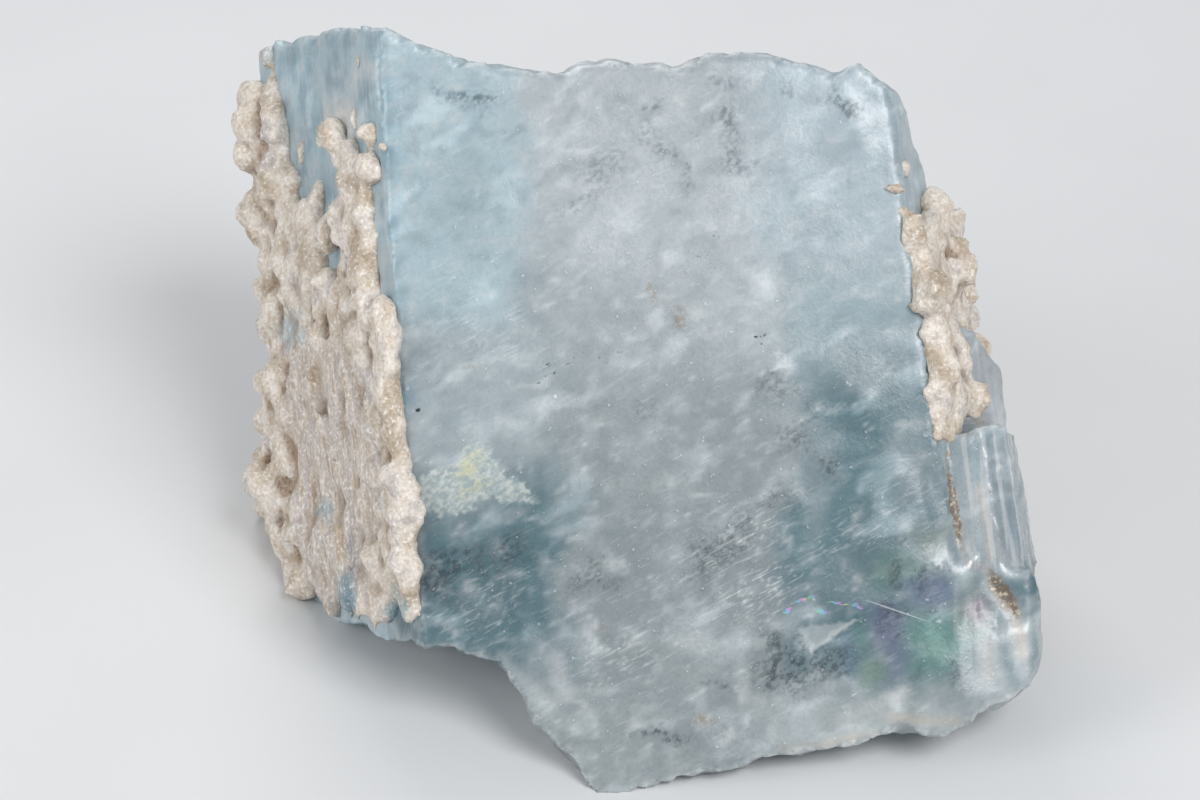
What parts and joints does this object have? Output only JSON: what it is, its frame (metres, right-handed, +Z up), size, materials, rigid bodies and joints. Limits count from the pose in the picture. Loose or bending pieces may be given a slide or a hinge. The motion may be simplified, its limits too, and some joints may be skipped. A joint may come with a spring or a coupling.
{
  "type": "topaz on albite mineral specimen",
  "caption": "Blocky broken topaz prism on albite matrix, with nodular albite round both flanks, leaning back on a flat cut base.",
  "frame": {"origin": "middle of the box's underside, on the flat cut that the specimen rests on", "axes": "+Z up, +X to the right across the broad front face, -Y towards the side that the front face looks to; the prism leans back 33 degrees"},
  "size_m": [0.0846, 0.075, 0.0639],
  "materials": {
    "topaz": "milky pale blue crystal, vitreous, with clear windows and a fine rough surface",
    "albite": "cream, waxy to pearly, brown in the crevices"
  },
  "bodies": {
    "root": {"topaz_crystal": "topaz", "albite_matrix": "albite"}
  },
  "joints": []
}
